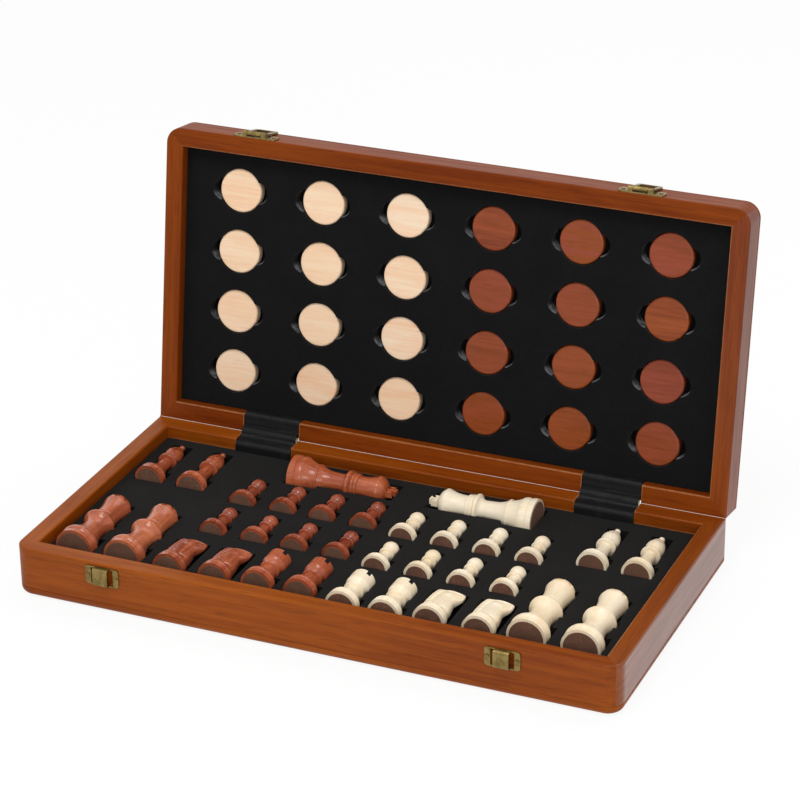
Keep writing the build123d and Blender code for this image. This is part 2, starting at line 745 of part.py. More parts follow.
def foot_places(set_name):
    """The columns and rows of the middles of one set's feet, kind by kind."""
    front_row = spread(front_row_gaps[set_name], front_feet, half_room)
    back_row = spread(back_row_gaps[set_name], back_feet, half_room)
    pawn_line = spread(pawn_line_gaps[set_name], pawn_line_sizes, inner_depth)
    bishop_line = spread(bishop_line_gaps[set_name], (queen_length, bishop_length), inner_depth)
    return {
        "pawn": (back_row[:4], [line - pawn_length / 2 for line in pawn_line[1:3]]),
        "rook": (front_row[:2], [rook_front_gap[set_name]]),
        "knight": (front_row[2:4], [pawn_line[0] - knight_length / 2]),
        "bishop": (back_row[4:], [bishop_line[1] - bishop_length / 2]),
        "queen": (front_row[4:], [bishop_line[0] - queen_length / 2]),
        "king": ([king_middle_gap[set_name] + king_length], [pawn_line[3]]),
    }


places = {set_name: foot_places(set_name) for set_name in set_sides}

# A man's pocket is in steps given as (height, radius) shares.
kinds = {
    "pawn": {
        "man": pawn,
        "foot": pawn_foot,
        "length": pawn_length,
        "sink": pawn_sink,
        "steps": [(0.33, 1.02), (0.59, 0.66), (1.0, 0.65)],
    },
    "rook": {
        "man": rook,
        "foot": rook_foot,
        "length": rook_length,
        "sink": 0,
        "steps": [(0.35, 1.02), (0.64, 0.7), (1.0, 0.78)],
    },
    "knight": {
        "man": knight,
        "foot": knight_foot,
        "length": knight_length,
        "sink": 0,
        "steps": [(1.0, 1.13)],
    },
    "bishop": {
        "man": bishop,
        "foot": bishop_foot,
        "length": bishop_length,
        "sink": bishop_sink,
        "steps": [(0.24, 1.02), (1.0, 0.69)],
    },
    "queen": {
        "man": queen,
        "foot": queen_foot,
        "length": queen_length,
        "sink": 0,
        "steps": [(0.27, 1.04), (0.475, 0.75), (0.57, 0.89), (1.0, 0.79)],
    },
    "king": {
        "man": king,
        "foot": king_foot,
        "length": king_length,
        "sink": 0,
        "steps": [(0.28, 1.02), (0.51, 0.7), (1.0, 0.77)],
    },
}


def spots(kind, set_name):
    """The planes under the feet of one set's men, with Z up each man."""
    side = set_sides[set_name]
    height = base_foam_top - kinds[kind]["sink"]
    along, across = ((-side, 0, 0), (0, 1, 0)) if kind == "king" else ((0, 1, 0), (1, 0, 0))
    columns, rows = places[set_name][kind]
    return [
        Plane(origin=(side * x, front_face + rail_thickness + row, height), x_dir=across, z_dir=along)
        for row in rows
        for x in columns
    ]


def pocket(kind):
    """The trough that a man lies in: coaxial steps a little larger than the man."""
    details, grow = kinds[kind], pocket_clearance
    height = -felt_thickness - pocket_end_gap
    points = [(0, height)]
    for end, radius in details["steps"]:
        points.append((radius * details["foot"] + grow, height))
        height = end * details["length"] + grow
        points.append((radius * details["foot"] + grow, height))
    points.append((0, height))
    with BuildPart() as trough:
        with BuildSketch(Plane.XZ):
            with BuildLine():
                Polyline(*points, close=True)
            make_face()
        revolve(axis=Axis.Z)
    return trough


names = {"pawn": "pawns", "rook": "rooks", "knight": "knights", "bishop": "bishops", "queen": "queens"}
for kind, details in kinds.items():
    for set_name in set_sides:
        group_name = f"{set_name}_{names.get(kind, kind)}"
        with BuildPart() as men:
            with Locations(*spots(kind, set_name)):
                add(details["man"].part)
        save(men, group_name)
        with BuildPart() as felts:
            for plane in spots(kind, set_name):
                with BuildSketch(plane.offset(felt_recess)):
                    Circle(details["foot"] - felt_margin)
                extrude(amount=-felt_thickness)
        save(felts, f"{group_name}_felt")

# ---- Foam trays and draughts -----------------------------------------------------------------

with BuildPart() as base_foam:
    with BuildSketch(Plane.XY.offset(board_thickness)):
        Rectangle(inner_length - 2 * tray_clearance, inner_depth - 2 * tray_clearance)
    extrude(amount=base_foam_top - board_thickness)
    for kind in kinds:
        troughs = pocket(kind)
        with Locations(*(spots(kind, "dark") + spots(kind, "light"))):
            add(troughs.part, mode=Mode.SUBTRACT)
save(base_foam, "base_foam_tray")

draught_floor = lid_foam_top - draught_sink - draught_thickness
draught_grid = GridLocations(draught_column_pitch, draught_row_pitch, draught_columns, draught_rows)
with BuildPart() as lid_foam:
    with BuildSketch(lid_plane.offset(board_thickness)):
        Rectangle(inner_length - 2 * tray_clearance, inner_depth - 2 * tray_clearance)
    extrude(amount=lid_foam_top - board_thickness)
    with BuildSketch(lid_plane.offset(lid_foam_top)):
        with draught_grid:
            Circle(draught_radius + pocket_clearance)
            with Locations((finger_offset, 0), (-finger_offset, 0)):
                Circle(finger_radius)
    extrude(amount=-draught_sink - draught_thickness, mode=Mode.SUBTRACT)
save(lid_foam, "lid_foam_tray")

column_offsets = [(n - (draught_columns - 1) / 2) * draught_column_pitch for n in range(draught_columns)]
row_offsets = [(n - (draught_rows - 1) / 2) * draught_row_pitch for n in range(draught_rows)]
for set_name, columns in (("light", column_offsets[:3]), ("dark", column_offsets[3:])):
    with BuildPart() as discs:
        with BuildSketch(lid_plane.offset(draught_floor)):
            with Locations(*[(x, y) for x in columns for y in row_offsets]):
                Circle(draught_radius)
        extrude(amount=draught_thickness)
        fillet(discs.edges().filter_by(GeomType.CIRCLE), draught_edge_radius)
    save(discs, f"{set_name}_draughts")
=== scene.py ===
from math import cos, pi, radians, sin

import bmesh
import bpy
from mathutils import Matrix, Vector


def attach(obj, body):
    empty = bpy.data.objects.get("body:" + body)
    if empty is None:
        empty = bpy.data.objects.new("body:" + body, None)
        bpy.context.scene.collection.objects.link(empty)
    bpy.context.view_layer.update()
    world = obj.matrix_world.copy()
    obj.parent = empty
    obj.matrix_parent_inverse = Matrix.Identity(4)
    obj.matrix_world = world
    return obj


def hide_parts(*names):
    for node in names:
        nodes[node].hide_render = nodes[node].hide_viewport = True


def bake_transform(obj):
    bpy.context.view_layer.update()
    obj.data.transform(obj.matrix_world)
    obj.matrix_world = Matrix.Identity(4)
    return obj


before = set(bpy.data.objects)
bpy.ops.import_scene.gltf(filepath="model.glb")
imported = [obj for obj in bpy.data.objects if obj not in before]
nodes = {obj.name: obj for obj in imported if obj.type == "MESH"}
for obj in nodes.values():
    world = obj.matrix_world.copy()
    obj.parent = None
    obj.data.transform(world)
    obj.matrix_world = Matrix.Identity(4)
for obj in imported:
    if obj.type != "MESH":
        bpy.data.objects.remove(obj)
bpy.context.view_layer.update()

scene = bpy.context.scene
mm = 0.001

print("stage: shared places")

box = {
    "width": 380 * mm,
    "depth": 190 * mm,
    "height": {"base": 32 * mm, "lid": 25 * mm},
    "rail": 11.5 * mm,
    "rimGap": 0.1 * mm,
    "baseFoam": 24 * mm,
    "lidOpen": radians(98.5),
    "hingeSetback": 0.05 * mm,
    "hingesAt": (-111 * mm, 117 * mm),
    "notchWidth": 38.5 * mm,
    "notchDepth": 4.5 * mm,
}
box["innerX"] = box["width"] / 2 - box["rail"]
box["innerY"] = box["depth"] / 2 - box["rail"]
hingeY = box["depth"] / 2 + box["hingeSetback"]
hingeZ = box["height"]["base"] + box["rimGap"] / 2
hinge = Vector((0, hingeY, hingeZ))

# the base's own axes are the world's
# the lid's are X along the hinge, Y from hinge to free edge and Z out of its tray
baseAxes = Matrix.Identity(4)
closedHeight = box["height"]["base"] + box["rimGap"] + box["height"]["lid"]
closedLid = Matrix.Translation((0, 0, closedHeight)) @ Matrix.Rotation(pi, 4, "X")
swing = Matrix.Rotation(-box["lidOpen"], 4, "X")
aboutHinge = Matrix.Translation(hinge) @ swing @ Matrix.Translation(-hinge)
lidAxes = aboutHinge @ closedLid


def colour(code):
    # a colour written as six hex digits, in the renderer's linear values
    parts = [int(code[i : i + 2], 16) / 255 for i in (0, 2, 4)]
    return tuple(p / 12.92 if p <= 0.04045 else ((p + 0.055) / 1.055) ** 2.4 for p in parts) + (1.0,)


print("stage: shader groups")


def newGroup(name, inputs, outputs):
    tree = bpy.data.node_groups.new(name, "ShaderNodeTree")
    for label, kind, value in inputs:
        socket = tree.interface.new_socket(name=label, in_out="INPUT", socket_type=kind)
        if value is not None:
            socket.default_value = value
    for label, kind in outputs:
        tree.interface.new_socket(name=label, in_out="OUTPUT", socket_type=kind)
    return tree, tree.nodes.new("NodeGroupInput"), tree.nodes.new("NodeGroupOutput")


def addNode(tree, kind, settings=None, inputs=None):
    # settings are the node's own properties; an input is a value, or a socket to link from
    node = tree.nodes.new(kind)
    for key, value in (settings or {}).items():
        setattr(node, key, value)
    for key, value in (inputs or {}).items():
        if isinstance(value, bpy.types.NodeSocket):
            tree.links.new(value, node.inputs[key])
        else:
            node.inputs[key].default_value = value
    return node


def placeGroup(tree, group, inputs):
    return addNode(tree, "ShaderNodeGroup", {"node_tree": group}, inputs).outputs


def maths(tree, operation, a, b=None):
    inputs = {i: v for i, v in enumerate((a, b)) if v is not None}
    return addNode(tree, "ShaderNodeMath", {"operation": operation}, inputs).outputs[0]


def howFar(tree, across, up):
    # the distance from a point whose offsets are across and up
    squares = maths(tree, "ADD", maths(tree, "POWER", across, 2.0), maths(tree, "POWER", up, 2.0))
    return maths(tree, "SQRT", squares)


def vectorMaths(tree, operation, inputs):
    return addNode(tree, "ShaderNodeVectorMath", {"operation": operation}, inputs).outputs[0]


def mixColours(tree, factor, a, b):
    return addNode(tree, "ShaderNodeMix", {"data_type": "RGBA"}, {0: factor, 6: a, 7: b}).outputs[2]


def spread(tree, value, low, high, toLow=0.0, toHigh=1.0):
    inputs = {0: value, 1: low, 2: high, 3: toLow, 4: toHigh}
    return addNode(tree, "ShaderNodeMapRange", {"interpolation_type": "SMOOTHSTEP"}, inputs).outputs[0]


def noise(tree, vector, scale, detail=3.0, roughness=0.55, distortion=0.0):
    inputs = {"Vector": vector, "Scale": scale, "Detail": detail}
    inputs.update({"Roughness": roughness, "Distortion": distortion})
    return addNode(tree, "ShaderNodeTexNoise", None, inputs).outputs[0]


def stretched(tree, vector, scale):
    return addNode(tree, "ShaderNodeMapping", None, {"Vector": vector, "Scale": scale}).outputs[0]


woodPattern = {
    "figureStretch": (0.16, 1.0, 1.0), "figureRange": (0.32, 0.68), "figureShare": 0.55,
    "streakStretch": (0.045, 1.0, 1.0), "streakRange": (0.35, 0.66), "streakShare": 0.45,
    "poreRange": (0.6, 0.7), "poreRoughness": 0.15,
    "roughRange": (0.3, 0.7), "roughSwing": (-0.05, 0.06), "streakHeight": 0.3,
}


def makeWoodGrain():
    # grain along X: slow figure, fine streaks and short open pores
    tree, source, sink = newGroup(
        "woodGrain",
        [
            ("Vector", "NodeSocketVector", None),
            ("Early Wood", "NodeSocketColor", (0.5, 0.3, 0.1, 1)),
            ("Late Wood", "NodeSocketColor", (0.3, 0.15, 0.05, 1)),
            ("Pore Colour", "NodeSocketColor", (0.1, 0.05, 0.02, 1)),
            ("Figure Scale", "NodeSocketFloat", 45.0),
            ("Streak Scale", "NodeSocketFloat", 420.0),
            ("Pore Scale", "NodeSocketFloat", 1500.0),
            ("Pore Amount", "NodeSocketFloat", 0.5),
            ("Roughness", "NodeSocketFloat", 0.4),
        ],
        [("Color", "NodeSocketColor"), ("Roughness", "NodeSocketFloat"), ("Height", "NodeSocketFloat")],
    )
    take = source.outputs
    long = stretched(tree, take["Vector"], woodPattern["figureStretch"])
    longer = stretched(tree, take["Vector"], woodPattern["streakStretch"])
    figure = noise(tree, long, take["Figure Scale"], detail=4.0, roughness=0.5, distortion=0.6)
    streak = noise(tree, longer, take["Streak Scale"], detail=4.0, roughness=0.6, distortion=0.25)
    pore = noise(tree, longer, take["Pore Scale"], detail=1.0, roughness=0.4)
    figureMask = spread(tree, figure, *woodPattern["figureRange"])
    streakMask = spread(tree, streak, *woodPattern["streakRange"])
    figurePart = maths(tree, "MULTIPLY", figureMask, woodPattern["figureShare"])
    streakPart = maths(tree, "MULTIPLY", streakMask, woodPattern["streakShare"])
    lateness = maths(tree, "ADD", figurePart, streakPart)
    wood = mixColours(tree, lateness, take["Early Wood"], take["Late Wood"])
    poreMask = maths(tree, "MULTIPLY", spread(tree, pore, *woodPattern["poreRange"]), take["Pore Amount"])
    tree.links.new(mixColours(tree, poreMask, wood, take["Pore Colour"]), sink.inputs["Color"])
    swings = spread(tree, streak, *woodPattern["roughRange"], *woodPattern["roughSwing"])
    poreRough = maths(tree, "MULTIPLY", poreMask, woodPattern["poreRoughness"])
    rough = maths(tree, "ADD", maths(tree, "ADD", take["Roughness"], swings), poreRough)
    tree.links.new(rough, sink.inputs["Roughness"])
    raised = maths(tree, "MULTIPLY", streak, woodPattern["streakHeight"])
    tree.links.new(maths(tree, "SUBTRACT", raised, poreMask), sink.inputs["Height"])
    return tree


patinaPattern = {
    "tarnishRange": (0.35, 0.68), "tarnishRoughness": 0.25,
    "fineScale": 9.0, "fineRange": (0.3, 0.7), "fineRoughness": (0.24, 0.4),
}


def makePatina():
    # old metal: slow patches of tarnish, rougher than the bright metal between them
    tree, source, sink = newGroup(
        "patina",
        [
            ("Vector", "NodeSocketVector", None),
            ("Bright Metal", "NodeSocketColor", (0.6, 0.45, 0.2, 1)),
            ("Tarnish", "NodeSocketColor", (0.15, 0.1, 0.05, 1)),
            ("Tarnish Amount", "NodeSocketFloat", 0.5),
            ("Scale", "NodeSocketFloat", 250.0),
        ],
        [("Color", "NodeSocketColor"), ("Roughness", "NodeSocketFloat"), ("Height", "NodeSocketFloat")],
    )
    take = source.outputs
    slow = noise(tree, take["Vector"], take["Scale"], detail=4.0, roughness=0.6, distortion=0.4)
    fineScale = maths(tree, "MULTIPLY", take["Scale"], patinaPattern["fineScale"])
    fine = noise(tree, take["Vector"], fineScale, roughness=0.6)
    patches = spread(tree, slow, *patinaPattern["tarnishRange"])
    mask = maths(tree, "MULTIPLY", patches, take["Tarnish Amount"])
    tree.links.new(mixColours(tree, mask, take["Bright Metal"], take["Tarnish"]), sink.inputs["Color"])
    tarnishRough = maths(tree, "MULTIPLY", mask, patinaPattern["tarnishRoughness"])
    fineRough = spread(tree, fine, *patinaPattern["fineRange"], *patinaPattern["fineRoughness"])
    tree.links.new(maths(tree, "ADD", tarnishRough, fineRough), sink.inputs["Roughness"])
    tree.links.new(fine, sink.inputs["Height"])
    return tree


napPattern = {
    "fibreRange": (0.42, 0.7), "patchRange": (0.25, 0.75), "patchStrength": (0.35, 1.0), "patchHeight": 0.4,
}


def makeNap():
    # short fibres: a speckle of lighter tips over a dark ground, with soft lint patches
    tree, source, sink = newGroup(
        "nap",
        [
            ("Vector", "NodeSocketVector", None),
            ("Ground", "NodeSocketColor", (0.01, 0.01, 0.012, 1)),
            ("Tips", "NodeSocketColor", (0.06, 0.06, 0.07, 1)),
            ("Fibre Scale", "NodeSocketFloat", 2200.0),
            ("Patch Scale", "NodeSocketFloat", 60.0),
        ],
        [("Color", "NodeSocketColor"), ("Height", "NodeSocketFloat")],
    )
    take = source.outputs
    fibre = noise(tree, take["Vector"], take["Fibre Scale"], detail=2.0, roughness=0.7)
    patch = noise(tree, take["Vector"], take["Patch Scale"], roughness=0.6, distortion=0.3)
    lint = spread(tree, patch, *napPattern["patchRange"], *napPattern["patchStrength"])
    tips = maths(tree, "MULTIPLY", spread(tree, fibre, *napPattern["fibreRange"]), lint)
    tree.links.new(mixColours(tree, tips, take["Ground"], take["Tips"]), sink.inputs["Color"])
    raised = maths(tree, "MULTIPLY", patch, napPattern["patchHeight"])
    tree.links.new(maths(tree, "ADD", fibre, raised), sink.inputs["Height"])
    return tree


def makeEdgeLine():
    # a thin line along an edge, where two measured distances both reach zero; it masks the painted
    # highlights on the rails
    tree, source, sink = newGroup(
        "edgeLine",
        [
            ("Across", "NodeSocketFloat", 0.0),
            ("Away", "NodeSocketFloat", 0.0),
            ("Width", "NodeSocketFloat", 0.0008),
        ],
        [("Mask", "NodeSocketFloat")],
    )
    take = source.outputs
    solidCore = 0.35  # share of the width painted at full strength
    distance = maths(tree, "DIVIDE", howFar(tree, take["Across"], take["Away"]), take["Width"])
    tree.links.new(spread(tree, distance, solidCore, 1.0, 1.0, 0.0), sink.inputs["Mask"])
    return tree


def makeCellPick():
    # two random values for the cell that a point lies in, and a shift of the grain for it
    tree, source, sink = newGroup(
        "cellPick",
        [
            ("Vector", "NodeSocketVector", None),
            ("Cell Size", "NodeSocketVector", (0.05, 0.05, 1.0)),
            ("Cell Shift", "NodeSocketVector", (0.0, 0.0, 0.0)),
        ],
        [("Value", "NodeSocketFloat"), ("Shift", "NodeSocketVector"), ("Other Value", "NodeSocketFloat")],
    )
    take = source.outputs
    furthestShift = 0.6
    moved = vectorMaths(tree, "ADD", {0: take["Vector"], 1: take["Cell Shift"]})
    shared = vectorMaths(tree, "DIVIDE", {0: moved, 1: take["Cell Size"]})
    cell = vectorMaths(tree, "FLOOR", {0: shared})
    pick = addNode(tree, "ShaderNodeTexWhiteNoise", {"noise_dimensions": "3D"}, {"Vector": cell})
    tree.links.new(pick.outputs["Value"], sink.inputs["Value"])
    shift = vectorMaths(tree, "SCALE", {0: pick.outputs["Color"], "Scale": furthestShift})
    tree.links.new(shift, sink.inputs["Shift"])
    channels = addNode(tree, "ShaderNodeSeparateColor", None, {"Color": pick.outputs["Color"]})
    tree.links.new(channels.outputs[1], sink.inputs["Other Value"])
    return tree


woodGrain = makeWoodGrain()
edgeLine = makeEdgeLine()
cellPick = makeCellPick()
patina = makePatina()
nap = makeNap()

print("stage: materials")


def startMaterial(name, axes):
    # a material whose pattern lies in a half's own axes
    material = bpy.data.materials.new(name)
    material.use_nodes = True
    tree = material.node_tree
    shader = tree.nodes["Principled BSDF"]
    back = axes.inverted()
    place = addNode(tree, "ShaderNodeTexCoord").outputs["Object"]
    inputs = {"Vector": place, "Location": back.to_translation(), "Rotation": back.to_euler()}
    own = addNode(tree, "ShaderNodeMapping", {"vector_type": "POINT"}, inputs).outputs[0]
    return material, tree, shader, own


def bumpInto(tree, shader, height, strength, distance):
    inputs = {"Height": height, "Strength": strength, "Distance": distance}
    bump = addNode(tree, "ShaderNodeBump", None, inputs)
    tree.links.new(bump.outputs[0], shader.inputs["Normal"])


def setShader(shader, values):
    for key, value in values.items():
        shader.inputs[key].default_value = value


lacquer = {"roughness": 0.15, "ior": 1.35, "woodIor": 1.3, "bumpDepth": 0.15 * mm}
unturned = (0, 0, 0)
alongY = (0, 0, radians(-90))


def woodMaterial(name, look, axes, turn=unturned, shift=(0, 0, 0), cells=None):
    # turn lays the grain along the piece
    # cells gives each square, disc or man its own stretch of grain and its own tint
    material, tree, shader, own = startMaterial(name, axes)
    inputs = {"Vector": own, "Location": shift, "Rotation": turn}
    grain = addNode(tree, "ShaderNodeMapping", {"vector_type": "POINT"}, inputs).outputs[0]
    early, late = colour(look["early"]), colour(look["late"])
    if cells:
        inputs = {"Vector": own, "Cell Size": cells["size"], "Cell Shift": cells["shift"]}
        pick = placeGroup(tree, cellPick, inputs)
        grain = vectorMaths(tree, "ADD", {0: grain, 1: pick["Shift"]})
        early = mixColours(tree, pick["Value"], early, colour(cells["early"]))
        late = mixColours(tree, pick["Other Value"], late, colour(cells["late"]))
    wood = placeGroup(tree, woodGrain, {
        "Vector": grain,
        "Early Wood": early,
        "Late Wood": late,
        "Pore Colour": colour(look["pores"]),
        "Figure Scale": look["figure"],
        "Streak Scale": look["streak"],
        "Pore Scale": look["poreScale"],
        "Pore Amount": look["poreAmount"],
        "Roughness": look["roughness"],
    })
    tree.links.new(wood["Color"], shader.inputs["Base Color"])
    tree.links.new(wood["Roughness"], shader.inputs["Roughness"])
    bumpInto(tree, shader, wood["Height"], look["bump"], lacquer["bumpDepth"])
    setShader(shader, {
        "IOR": look.get("ior", lacquer["woodIor"]),
        "Coat Weight": look["coat"],
        "Coat Roughness": lacquer["roughness"],
        "Coat IOR": lacquer["ior"],
    })
    return material, tree, shader, own, wood


railLook = {
    "base": {
        "early": "9a4d0b", "late": "763206", "pores": "4a1c04", "figure": 26.0, "streak": 300.0,
        "poreScale": 1300.0, "poreAmount": 0.3, "roughness": 0.45, "bump": 0.25, "coat": 0.15, "ior": 1.2,
    },
    # the lid's rails are the same wood as the base's, given darker colours as painted shade
    "lid": {
        "early": "8a400b", "late": "692906", "pores": "3c1603", "figure": 26.0, "streak": 300.0,
        "poreScale": 1300.0, "poreAmount": 0.3, "roughness": 0.45, "bump": 0.25, "coat": 0.1, "ior": 1.15,
    },
}
# the right-hand rails are glossier, and the base's has darker colours as painted shade
glossyShadedEnd = {
    "base": {"coat": 0.85, "ior": 1.25, "early": "8e460b", "late": "6c2c05"},
    "lid": {"coat": 0.25, "ior": 1.25},
}
# pale lines painted on the rails' edges as painted highlights, of patchy strength
rimHighlight = {
    "colour": "a56a42", "amount": 0.8, "least": 0.55, "innerWidth": 0.85 * mm, "inset": 0.35 * mm,
    "seamWidth": 0.8 * mm, "seamAmount": 0.25, "notchSpill": 0.3 * mm,
    "patchScale": 190.0, "patchRange": (0.3, 0.6),
    "rims": (("lid", "front"), ("lid", "right"), ("lid", "back"), ("base", "right")),
}


def highlitRail(name, half, side, axes, turn, shift):
    # a pale painted highlight along the rim's inner edge, and on the hinge rails along the seam and the
    # notches
    look = {**railLook[half], **(glossyShadedEnd[half] if side == "right" else {})}
    material, tree, shader, own, wood = woodMaterial(name, look, axes, turn, shift)
    x, y, z = addNode(tree, "ShaderNodeSeparateXYZ", None, {"Vector": own}).outputs
    rim = box["height"][half]
    inner, reach = (x, box["innerX"]) if side in ("left", "right") else (y, box["innerY"])
    beside = maths(tree, "SUBTRACT", maths(tree, "ABSOLUTE", inner), reach + rimHighlight["inset"])

    def line(across, away, width):
        return placeGroup(tree, edgeLine, {"Across": across, "Away": away, "Width": width})["Mask"]

    lines = []
    if (half, side) in rimHighlight["rims"]:
        below = maths(tree, "SUBTRACT", z, rim - rimHighlight["inset"])
        lines.append(line(beside, below, rimHighlight["innerWidth"]))
    if (half, side) == ("base", "back"):
        # this one gets the painted highlight where the foam meets it
        below = maths(tree, "SUBTRACT", z, box["baseFoam"])
        lines.append(line(beside, below, rimHighlight["innerWidth"]))
    if side == "back":
        # a fainter painted highlight along the seam, and painted highlights along and down the notch edges
        seam = maths(tree, "SUBTRACT", maths(tree, "ABSOLUTE", y), box["depth"] / 2)
        atRim = maths(tree, "SUBTRACT", z, rim)
        lines.append(maths(tree, "MULTIPLY", line(seam, atRim, rimHighlight["seamWidth"]), rimHighlight["seamAmount"]))
        lowest = rim - box["notchDepth"] - rimHighlight["notchSpill"]
        for hingeAt in box["hingesAt"]:
            aside = maths(tree, "ABSOLUTE", maths(tree, "SUBTRACT", x, hingeAt))
            aside = maths(tree, "SUBTRACT", aside, box["notchWidth"] / 2)
            lines.append(line(aside, atRim, rimHighlight["innerWidth"]))
            down = line(aside, beside, rimHighlight["innerWidth"])
            lines.append(maths(tree, "MULTIPLY", down, maths(tree, "GREATER_THAN", z, lowest)))
    if lines:
        wearAndHighlight = lines[0]
        for rubbedAndHighlit in lines[1:]:
            wearAndHighlight = maths(tree, "MAXIMUM", wearAndHighlight, rubbedAndHighlit)
        slow = noise(tree, own, rimHighlight["patchScale"])
        patchy = spread(tree, slow, *rimHighlight["patchRange"], rimHighlight["least"], 1.0)
        wearAndHighlight = maths(tree, "MULTIPLY", maths(tree, "MULTIPLY", wearAndHighlight, patchy), rimHighlight["amount"])
        # the painted highlight mixed into the wood's colour
        pale = mixColours(tree, wearAndHighlight, wood["Color"], colour(rimHighlight["colour"]))
        tree.links.new(pale, shader.inputs["Base Color"])
    return material


foamLook = {
    "base": {"ground": "070707", "tips": "1d1b19", "fibres": 2400.0, "patches": 45.0},
    "lid": {"ground": "060607", "tips": "191a1c", "fibres": 2400.0, "patches": 45.0},
}
feltLook = {"ground": "644638", "tips": "a0745c", "fibres": 2600.0, "patches": 120.0}
draughtGrid = {"column": 56.5 * mm, "row": 39.2 * mm, "columns": 6, "rows": 4}
# the finger notches beside the draughts, whose lower rims get a grey painted highlight
notches = {
    "offset": 11.5 * mm, "radius": 7.0 * mm, "disc": 14.6 * mm, "line": 0.4 * mm, "solidCore": 0.3,
    "fade": (-4.5 * mm, -1.5 * mm), "colour": "77787c", "amount": 0.8, "least": 0.3,
    "patchScale": 260.0, "patchRange": (0.35, 0.6),
}


def highlightNotches(tree, own, foamColour):
    # a pale painted highlight along the lower rim of each notch, found by folding all the notches onto one
    x, y = addNode(tree, "ShaderNodeSeparateXYZ", None, {"Vector": own}).outputs[:2]

    def fold(value, pitch, count):
        shares = maths(tree, "ADD", maths(tree, "DIVIDE", value, pitch), count / 2)
        return maths(tree, "MULTIPLY", maths(tree, "SUBTRACT", maths(tree, "FRACT", shares), 0.5), pitch)

    across = fold(x, draughtGrid["column"], draughtGrid["columns"])
    up = fold(y, draughtGrid["row"], draughtGrid["rows"])
    aside = maths(tree, "SUBTRACT", maths(tree, "ABSOLUTE", across), notches["offset"])
    off = maths(tree, "ABSOLUTE", maths(tree, "SUBTRACT", howFar(tree, aside, up), notches["radius"]))
    wearAndHighlight = spread(tree, off, notches["solidCore"] * notches["line"], notches["line"], 1.0, 0.0)
    wearAndHighlight = maths(tree, "MULTIPLY", wearAndHighlight, spread(tree, up, *notches["fade"], 1.0, 0.0))
    clear = maths(tree, "GREATER_THAN", howFar(tree, across, up), notches["disc"])
    wearAndHighlight = maths(tree, "MULTIPLY", wearAndHighlight, clear)
    slow = noise(tree, own, notches["patchScale"])
    patchy = spread(tree, slow, *notches["patchRange"], notches["least"], 1.0)
    wearAndHighlight = maths(tree, "MULTIPLY", maths(tree, "MULTIPLY", wearAndHighlight, patchy), notches["amount"])
    # the grey painted highlight mixed into the foam's colour
    return mixColours(tree, wearAndHighlight, foamColour, colour(notches["colour"]))


def napMaterial(name, look, axes, notched=False):
    material, tree, shader, own = startMaterial(name, axes)
    fibres = placeGroup(tree, nap, {
        "Vector": own,
        "Ground": colour(look["ground"]),
        "Tips": colour(look["tips"]),
        "Fibre Scale": look["fibres"],
        "Patch Scale": look["patches"],
    })
    surface = highlightNotches(tree, own, fibres["Color"]) if notched else fibres["Color"]
    tree.links.new(surface, shader.inputs["Base Color"])
    bumpInto(tree, shader, fibres["Height"], strength=0.5, distance=0.25 * mm)
    sheen = {"Sheen Weight": 0.06, "Sheen Roughness": 0.5}
    setShader(shader, {"Roughness": 0.95, "Specular IOR Level": 0.15, **sheen})
    return material


brassLook = {"bright": "94804e", "tarnish": "4e3b1e", "amount": 0.55, "scale": 200.0}


def brassMaterial(name, axes):
    material, tree, shader, own = startMaterial(name, axes)
    metal = placeGroup(tree, patina, {
        "Vector": own,
        "Bright Metal": colour(brassLook["bright"]),
        "Tarnish": colour(brassLook["tarnish"]),
        "Tarnish Amount": brassLook["amount"],
        "Scale": brassLook["scale"],
    })
    tree.links.new(metal["Color"], shader.inputs["Base Color"])
    tree.links.new(metal["Roughness"], shader.inputs["Roughness"])
    bumpInto(tree, shader, metal["Height"], strength=0.2, distance=0.05 * mm)
    setShader(shader, {"Metallic": 1.0})
    return material


def dress(nodeName, material):
    mesh = nodes[nodeName].data
    mesh.materials.clear()
    mesh.materials.append(material)


darkVeneerLook = {
    "early": "5a2a14", "late": "3a180a", "pores": "1f0d07", "figure": 60.0, "streak": 500.0,
    "poreScale": 1700.0, "poreAmount": 0.6, "roughness": 0.38, "bump": 0.3, "coat": 0.3,
}
lightVeneerLook = {
    "early": "e2bf8c", "late": "cda06a", "pores": "a87844", "figure": 60.0, "streak": 450.0,
    "poreScale": 1600.0, "poreAmount": 0.35, "roughness": 0.38, "bump": 0.25, "coat": 0.3,
}
veneerCells = {"size": (42 * mm, 42 * mm, 1), "shift": (0, 11 * mm, 0)}
darkVeneerCells = {**veneerCells, "early": "6b3419", "late": "2e1308"}
lightVeneerCells = {**veneerCells, "early": "e9cc9e", "late": "bd8c56"}
# each rail's grain is shifted on from the last one's, and the panel has a stretch of its own
railStep = (0.31, 0.17)
railUp = 0.05
panelShift = (0, 0.4, 0.2)

